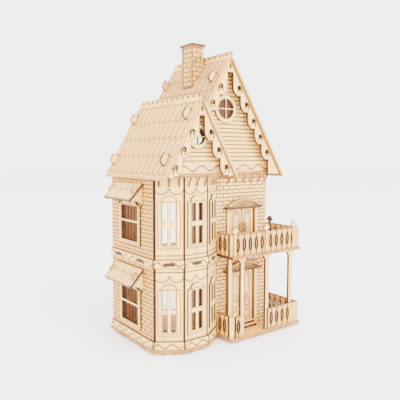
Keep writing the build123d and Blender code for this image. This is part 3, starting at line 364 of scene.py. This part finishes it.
def outwards(tree, place, normal):
    """How far a surface faces straight out of the wall it lies on: towards the left beside
    the left wall, and square to the wall's heading round the bay."""
    turn = wall_turn(tree, place)
    out_x = add(tree, "Math", turn, operation="SINE")
    out_y = add(tree, "Math", add(tree, "Math", turn, operation="COSINE"), -1.0,
                operation="MULTIPLY")
    bay = add(tree, "VectorMath", normal, add(tree, "CombineXYZ", out_x, out_y),
              operation="DOT_PRODUCT", out="Value")
    left = ruler(tree, normal, (-1, 0, 0))
    beside = add(tree, "Math", ruler(tree, place, (0, 1, 0)), 1.3, operation="GREATER_THAN")
    return add(tree, "MixRGB", beside, bay, left)


def strip_engraving(bottom):
    """A strip's wave, with a line along its top."""
    def drawing(tree, place, normal):
        up = ruler(tree, place, (0, 0, 1))
        along = run_along(tree, place, normal)
        return nearest(tree, wave(tree, along, up, bottom + 4.6, 2.3, 16.5),
                       at(tree, up, bottom + 9.9))
    return drawing


finish(plywood("birch_plinth_strip", outwards, strip_engraving(floor_tops[0])),
       "plinth_strips")
finish(plywood("birch_mid_strip", outwards, strip_engraving(floor_tops[1] - 6.0)),
       "band_strips")


# ---------------------------------------------------------------------------------------
# Windows: frames of 2 mm plywood with their bars, glued over the openings, with a scored
# line round each opening.

def box_line(tree, along, up, left, right, low, high):
    """The distance to a rectangle's outline: the greater of the distances outside its two
    pairs of sides, without its sign."""
    wide = add(tree, "Math", apart(tree, along, (left + right) / 2), (right - left) / 2,
               operation="SUBTRACT")
    tall = add(tree, "Math", apart(tree, up, (low + high) / 2), (high - low) / 2,
               operation="SUBTRACT")
    return add(tree, "Math", add(tree, "Math", wide, tall, operation="MAXIMUM"),
               operation="ABSOLUTE")


def side_window_lines(tree, place, normal):
    """A line 1.6 mm outside the panes of the windows in the side walls."""
    middle = 53.2
    along = ruler(tree, place, (0, 1, 0))
    up = ruler(tree, place, (0, 0, 1))
    return nearest(tree, *[box_line(tree, along, up, middle - 22, middle + 22, base + 17.5,
                                    base + 64) for base in floor_tops])


def bay_window_lines(tree, place, normal):
    """A line round the panes, about the middle of each bay window: the left, the front and
    the right board are told apart by how far their faces turn sideways."""
    x = add(tree, "SeparateXYZ", normal)
    slant = 0.2
    turned = add(tree, "Math", add(tree, "Math", x, operation="ABSOLUTE"), slant,
                 operation="GREATER_THAN")
    right = add(tree, "Math", x, slant, operation="GREATER_THAN")
    left_middle = cos(bay_turn) * bay_run / 2 + sin(bay_turn) * bay_depth / 2
    right_middle = cos(bay_turn) * (front_x - bay_run / 2) - sin(bay_turn) * bay_depth / 2
    middle = add(tree, "Math", turned, left_middle - front_x / 2, front_x / 2,
                 operation="MULTIPLY_ADD")
    middle = add(tree, "Math", right, right_middle - left_middle, middle,
                 operation="MULTIPLY_ADD")
    along = add(tree, "Math", run_along(tree, place, normal), middle, operation="SUBTRACT")
    up = ruler(tree, place, (0, 0, 1))
    return nearest(tree, *[box_line(tree, along, up, -8.6, 8.6, base + 19.6, base + 70.4)
                           for base in floor_tops])


finish(plywood("birch_left_window", (-1, 0, 0), side_window_lines, line=0.2), "left_windows")
finish(plywood("birch_right_window", (1, 0, 0), side_window_lines, line=0.2), "right_windows")
finish(plywood("birch_bay_window", outwards, bay_window_lines, line=0.2),
       "bay_windows_lower", "bay_windows_upper")


# ---------------------------------------------------------------------------------------
# Awnings: a sloping plywood board over each left window, engraved with two rows of long
# shingles, on two brackets glued to the wall.

def shingles(tree, along, up, width, row):
    """Rows of long shingles with round tips: within the tip, the distance to its circle, and
    above it the distance to the shingle's side. Every other row is shifted by half."""
    half = width / 2
    count = add(tree, "Math", add(tree, "Math", up, row, operation="DIVIDE"),
                operation="FLOOR")
    odd = add(tree, "Math", count, 1.0, operation="PINGPONG")
    shifted = add(tree, "Math", odd, half, along, operation="MULTIPLY_ADD")
    across = rows(tree, shifted, width)
    rise = add(tree, "Math", count, -row, up, operation="MULTIPLY_ADD")
    tip = add(tree, "Math", rise, half, operation="SUBTRACT")
    arc = apart(tree, reach_of(tree, across, tip), half)
    side = add(tree, "Math", half, across, operation="SUBTRACT")
    return nearest(tree, only(tree, arc, rise, -1, half), only(tree, side, rise, half, row))


awning_rise, awning_reach = 21.0, 20.0
awning_turn = atan2(awning_rise, awning_reach)


def awning_engraving(low):
    """Two rows of shingles from an awning's own lower edge, and the scorched outlines of the
    slots for its brackets."""
    def drawing(tree, place, normal):
        along = ruler(tree, place, (0, 1, 0), 21.2)
        up = ruler(tree, place, (0, 0, 1 / sin(awning_turn)), low / sin(awning_turn))
        y = ruler(tree, place, (0, 1, 0))
        slots = [box_line(tree, y, up, left, left + 2.6, 10.2, 18.8) for left in (23.9, 79.9)]
        return nearest(tree, shingles(tree, along, up, 8.0, 14.6), *slots)
    return drawing


for name, low in (("awning_lower", 77.5), ("awning_upper", 178.5)):
    finish(plywood("birch_" + name, (-sin(awning_turn), 0, cos(awning_turn)),
                   awning_engraving(low), grain=(0.7, 0, 0.7)), name)
finish(plywood("birch_bracket", (0, 1, 0)), "awning_brackets")


# ---------------------------------------------------------------------------------------
# Doors: frames, ledges and arches of plywood round each opening. The leaves are 2 mm
# plywood, engraved with panels, and swing on pins cut in one with them.

lintel_tops = (84.0, 164.6)


def fan(tree, place, normal):
    """A sunburst on each storey's arch: lines every 11 degrees from a point 6 mm below the
    middle of the lintel."""
    x, _, z = add(tree, "SeparateXYZ", add(
        tree, "VectorMath", place, (door_x, 0, 0), operation="SUBTRACT")).node.outputs
    lower = add(tree, "Math", z, lintel_tops[0], operation="SUBTRACT")
    upper = add(tree, "Math", z, lintel_tops[1], operation="SUBTRACT")
    high = add(tree, "Math", z, 130.0, operation="GREATER_THAN")
    rise = add(tree, "MixRGB", high, lower, upper)
    rise = add(tree, "Math", rise, 6.0, operation="ADD")
    angle = add(tree, "Math", rise, x, operation="ARCTAN2")
    spokes = rows(tree, angle, radians(11))
    return add(tree, "Math", spokes, reach_of(tree, x, rise), operation="MULTIPLY")


def leaf_panels(low, high, middle_x):
    """A leaf's engraving: a tall upper panel with a round head, one inside another, and two
    lower panels."""
    def drawing(tree, place, normal):
        along = ruler(tree, place, (1, 0, 0), middle_x)
        up = ruler(tree, place, (0, 0, 1))
        half = 6.2
        split = low + (high - low) * 0.48
        head = high - 10
        lines = []
        for radius, inset in ((half, 0.0), (half - 2.6, 2.6)):
            sides = box_line(tree, along, up, -radius, radius, split + inset, head + 99)
            lines.append(only(tree, sides, up, split - 2, head))
            rise = add(tree, "Math", up, head, operation="SUBTRACT")
            arc = apart(tree, reach_of(tree, along, rise), radius)
            lines.append(only(tree, arc, up, head, high))
        middle = low + (split - low) * 0.52
        for bottom, top in ((low + 3, middle - 1.5), (middle + 1.5, split - 3)):
            for inset in (0.0, 2.0):
                lines.append(box_line(tree, along, up, inset - half, half - inset,
                                      bottom + inset, top - inset))
        return nearest(tree, *lines)
    return drawing


finish(plywood("birch_door_trim", (0, 1, 0), edge=TOASTED),
       "front_door_frame", "balcony_door_frame")
finish(plywood("birch_ledge", (0, 0, 1), grain=(1, 0, 0)),
       "front_door_ledges", "balcony_door_ledges")
finish(plywood("birch_arch", (0, -1, 0), fan, grain=(1, 0, 0), edge=TOASTED),
       "front_door_arch", "balcony_door_arch")
for storey, low, high in (("front", 12.4, 80.6), ("balcony", 110.4, 161.2)):
    for side, middle in (("left", door_x - 10), ("right", door_x + 10)):
        finish(plywood(f"birch_{storey}_{side}_leaf", (0, -1, 0),
                       leaf_panels(low, high, middle), line=0.24), f"{storey}_door_{side}")
        finish(plywood(f"birch_{storey}_{side}_pull", (1, 0, 0), edge=TOASTED),
               f"{storey}_handle_{side}")


# ---------------------------------------------------------------------------------------
# Rails, pilasters and posts: 2 mm boards pierced with balusters, and 3 mm posts with curved
# brackets that carry the balcony.

def side_rails_facing(tree, place, normal):
    """The side rails face sideways, and the return at the back faces the front."""
    return_y = 26.9
    shade_behind = add(tree, "Math", ruler(tree, place, (0, 1, 0)), return_y,
                 operation="GREATER_THAN")
    x, y = add(tree, "SeparateXYZ", add(tree, "VectorMath", normal,
                                        operation="ABSOLUTE")).node.outputs[:2]
    return add(tree, "MixRGB", shade_behind, x, y)


# The rails' veneer is painted darker than the walls': painted shade for their shaded sides and
# for the dark seen between the balusters.
shaded_rail_veneer = {"face": paint("dcab56"), "streak": paint("cc9740")}
finish(plywood("birch_front_rail", (0, 1, 0), grain=(1, 0, 0), **shaded_rail_veneer),
       "balcony_rail_front", "porch_rail_front")
finish(plywood("birch_side_rail", side_rails_facing, grain=(0, 1, 0), **shaded_rail_veneer),
       "balcony_rail_sides", "porch_rail_sides")
finish(plywood("birch_corner_board", (0.7071, 0.7071, 0)), "corner_boards")
finish(plywood("birch_post", (0, 1, 0)), "porch_posts")
finish(plywood("birch_pilaster", (0, -1, 0)), "balcony_pilasters")


# ---------------------------------------------------------------------------------------
# Gables: upright boards on the attic floor, engraved with planks, with a wave in the lowest
# plank. Round windows of 2 mm plywood are glued over their openings, rafters stand at the
# back of the roofs, and corbels hang under the attic floor.

def gable_planks(ridge_x, peak, slope):
    """Planks every 5 mm above the lowest one, and a wave in the lowest, drawn only below the
    roof, not on the hooks that stand out through it."""
    def drawing(tree, place, normal):
        up = ruler(tree, place, (0, 0, 1), attic_top)
        along = ruler(tree, place, (1, 0, 0), ridge_x)
        planks = only(tree, rows(tree, up, 5.0), up, 13.0, 160)
        lines = nearest(tree, planks, wave(tree, along, up, 6.5, 3.0, 26.0))
        side = add(tree, "Math", along, operation="ABSOLUTE")
        return only(tree, lines, add(tree, "Math", side, slope, up,
                                     operation="MULTIPLY_ADD"), -99, peak - 1)
    return drawing


for name, ridge_x, peak, slope in (("small_gable", small_ridge_x, 83.0, 1.732),
                                   ("main_gable", main_ridge_x, 138.9, 1.6)):
    # The gable's back is darkened towards the core's brown, as painted shade inside the attic.
    finish(plywood("birch_" + name, (0, -1, 0), gable_planks(ridge_x, peak, slope),
                   grain=(1, 0, 0), shade_behind=0.6), name)
finish(plywood("birch_round_window", (0, -1, 0), line=0.2), "round_windows")
finish(plywood("birch_rafter", (0, 1, 0), grain=(1, 0, 0), edge=TOASTED),
       "small_rafter", "main_rafter")


def along_wall(tree, place, normal):
    """How far a surface faces along the wall it stands on."""
    turn = wall_turn(tree, place)
    way = add(tree, "CombineXYZ", add(tree, "Math", turn, operation="COSINE"),
              add(tree, "Math", turn, operation="SINE"))
    return add(tree, "VectorMath", normal, way, operation="DOT_PRODUCT", out="Value")


finish(plywood("birch_corbel", along_wall), "corbels")


# ---------------------------------------------------------------------------------------
# Bargeboards: scrolled boards of 3 mm plywood under the front of each roof, one scroll every
# 23.2 mm down the slope. A small ring is engraved in each scroll.

scroll_pitch, first_scroll, scroll_depth = 23.2, 46.0, 8.7
ring_out, ring_up, ring_radius = 4.8, 4.4, 1.3


def curls(ridge_x, peak_z, pitch, count):
    """A ring in each of a number of scrolls and a line inside the sloping edge: the distance
    to a circle that repeats along the slope, and to a line parallel to it."""
    def drawing(tree, place, normal):
        x, _, z = add(tree, "SeparateXYZ", add(
            tree, "VectorMath", place, (ridge_x, 0, peak_z),
            operation="SUBTRACT")).node.outputs
        spot = add(tree, "CombineXYZ", add(tree, "Math", x, operation="ABSOLUTE"), z)
        down = ruler(tree, spot, (cos(pitch), -sin(pitch), 0),
                     first_scroll - ring_out * cos(pitch) - ring_up * sin(pitch))
        inward = ruler(tree, spot, (-sin(pitch), -cos(pitch), 0))
        rise = add(tree, "Math", inward,
                   scroll_depth + ring_out * sin(pitch) - ring_up * cos(pitch),
                   operation="SUBTRACT")
        ring = apart(tree, reach_of(tree, rows(tree, down, scroll_pitch), rise), ring_radius)
        ring = only(tree, ring, down, -6.0, (count - 0.5) * scroll_pitch - 6.0)
        return nearest(tree, ring, at(tree, inward, 1.6))
    return drawing


finish(plywood("birch_small_scrolls", (0, -1, 0),
               curls(small_ridge_x, 290.9, radians(60), 3), line=0.2), "small_bargeboard")
finish(plywood("birch_main_scrolls", (0, -1, 0),
               curls(main_ridge_x, 346.84, radians(58), 5), line=0.2), "main_bargeboard")


# ---------------------------------------------------------------------------------------
# Roofs: two boards on each ridge, engraved with long round-tipped shingles. The hooks of the
# gables come up through their slots, and lobed combs stand along the ridges.

def roof_engraving(eave_z, pitch, hooks, hook_ys):
    """Shingles that run down a slope, and dark outlines round the slots for hooks: the cut's
    scorch, widened as painted shade in the gap round each hook.
    """
    def drawing(tree, place, normal):
        y = ruler(tree, place, (0, 1, 0))
        along = add(tree, "Math", y, 30.0, operation="ADD")
        up = ruler(tree, place, (0, 0, 1 / sin(pitch)), eave_z / sin(pitch))
        slots = [box_line(tree, y, up, mid - 2.1, mid + 2.1, low - 0.4, low + 12.6)
                 for mid in hook_ys for low in hooks]
        # Widened by 0.8 mm as painted shade in the gap where each hook comes up through the
        # roof.
        slots = add(tree, "Math", nearest(tree, *slots), 0.8, operation="SUBTRACT")
        rise = add(tree, "Math", up, 5.0, operation="SUBTRACT")
        return nearest(tree, only(tree, shingles(tree, along, rise, 11.3, 23.3), rise, 0, 172),
                       slots)
    return drawing


roof_edge = (paint("c88a3c"), paint("f6bc58"))
# The roofs' veneer is painted darker and more orange than the walls', the main roof's darker
# again: painted shade on slopes that face away from the light.
small_roof_shaded_veneer = (paint("dfaa58"), paint("d09844"))
main_roof_shaded_veneer = (paint("cb9a4e"), paint("bc883c"))
for name, side, pitch, hooks, hook_ys, colours in (
        ("small_roof_left", -1, 60, (17.6, 77.6), (-17.5, 98.9), small_roof_shaded_veneer),
        ("small_roof_right", 1, 60, (17.6, 77.6), (-17.5,), small_roof_shaded_veneer),
        ("main_roof_left", -1, 58, (135.9,), (1.5, 102.2), main_roof_shaded_veneer),
        ("main_roof_right", 1, 58, (70.9, 135.9), (1.5, 102.2), main_roof_shaded_veneer)):
    # The roof's underside is darkened towards the core's brown, as painted shade under the
    # eaves.
    turn = radians(pitch)
    finish(plywood("birch_" + name, (side * sin(turn), 0, cos(turn)),
                   roof_engraving(203.4, turn, hooks, hook_ys), edge=roof_edge, shade_behind=0.6,
                   grain=(cos(turn), 0, sin(turn)), face=colours[0], streak=colours[1]), name)


def comb_dots(tree, place, normal):
    """A scorched dot in every other hollow between the comb's lobes, on both ridges."""
    along = rows(tree, ruler(tree, place, (0, 1, 0), -24.5), 11.0)
    small_top, main_top = 297.0, 352.6
    main = add(tree, "Math", ruler(tree, place, (1, 0, 0)), 76.0, operation="GREATER_THAN")
    start = add(tree, "Math", main, main_top - small_top, small_top, operation="MULTIPLY_ADD")
    rise = add(tree, "Math", ruler(tree, place, (0, 0, 1)), start, operation="SUBTRACT")
    dot_radius = 1.3
    return add(tree, "Math", reach_of(tree, along, rise), dot_radius, operation="SUBTRACT")


finish(plywood("birch_comb", (-1, 0, 0), comb_dots, comb_dots, grain=(0, 1, 0),
               edge=TOASTED), "ridge_combs")


# ---------------------------------------------------------------------------------------
# Chimney: four plywood boards engraved with bricks a little larger than the walls', under a
# flat cap. It stands on the main roof's left slope.

def chimney_facing(tree, place, normal):
    """The front and back boards face the front, and the two between them face sideways."""
    middle, half = 47.5, 8.45
    between = add(tree, "Math", ruler(tree, place, (0, 1, 0)), middle, half,
                  operation="COMPARE")
    x, y = add(tree, "SeparateXYZ", add(tree, "VectorMath", normal,
                                        operation="ABSOLUTE")).node.outputs[:2]
    return add(tree, "MixRGB", between, y, x)


def chimney_bricks(tree, place, normal):
    """Bricks round the four sides, and two scorched slots in the front and back boards."""
    along = run_along(tree, place, normal)
    up = ruler(tree, place, (0, 0, 1))
    slots = [box_line(tree, along, up, x - 0.2, x + 0.2, low, low + 7)
             for x, low in ((85.6, 344.5), (94.0, 350.0))]
    slots = add(tree, "Math", nearest(tree, *slots), 0.3, operation="SUBTRACT")
    return nearest(tree, bricks(tree, along, up, 6.0, 11.0), slots)


finish(plywood("birch_chimney", chimney_facing, chimney_bricks, face=paint("dfae48"),
               streak=paint("cf9a38"), edge=(CORE, paint("c98a3c"))), "chimney_stack")
finish(plywood("birch_chimney_cap", (0, 0, 1)), "chimney_cap")


# ---------------------------------------------------------------------------------------
# Stage: a plain pale floor under a white world, with a broad soft light from the front and a
# weaker one from the left.

grid = np.array([[-1, -1, 0], [1, -1, 0], [1, 1, 0], [-1, 1, 0]]) * 6.0
floor_mesh = bpy.data.meshes.new("floor")
floor_mesh.from_pydata(grid.tolist(), [], [(0, 1, 2, 3)])
floor = bpy.data.objects.new("floor", floor_mesh)
bpy.context.scene.collection.objects.link(floor)
floor_paint = bpy.data.materials.new("pale_floor")
floor_paint.use_nodes = True
floor_shader = floor_paint.node_tree.nodes["Principled BSDF"]
floor_shader.inputs["Base Color"].default_value = paint("fafafa")
floor_shader.inputs["Roughness"].default_value = 0.9
floor_mesh.materials.append(floor_paint)

world = bpy.data.worlds.new("studio")
world.use_nodes = True
world.node_tree.nodes["Background"].inputs[0].default_value = (1.0, 1.0, 1.0, 1.0)
world.node_tree.nodes["Background"].inputs[1].default_value = 4.8
bpy.context.scene.world = world

for name, place, size, power in (("key", (0.3, -1.6, 1.5), 1.2, 70.0),
                                 ("fill", (-1.7, -0.5, 0.9), 1.6, 24.0)):
    light = bpy.data.lights.new(name, "AREA")
    light.shape = "SQUARE"
    light.size = size
    light.energy = power
    lamp = bpy.data.objects.new(name, light)
    bpy.context.scene.collection.objects.link(lamp)
    aim = np.array([0, 0, 0.18]) - np.array(place)
    lamp.location = place
    lamp.rotation_euler = (np.arccos(-aim[2] / np.linalg.norm(aim)), 0,
                           np.arctan2(aim[1], aim[0]) - pi / 2)

camera = bpy.data.cameras.new("camera")
camera.lens = 43.4
camera.sensor_width = 36.0
camera.shift_x = 0.032
camera.shift_y = -0.0335
camera.clip_start = 0.01
viewer = bpy.data.objects.new("camera", camera)
viewer.location = (-0.3855, -0.49725, 0.2295)
viewer.rotation_euler = (radians(90 - 3.7), 0, radians(-36.2))
bpy.context.scene.collection.objects.link(viewer)
bpy.context.scene.camera = viewer
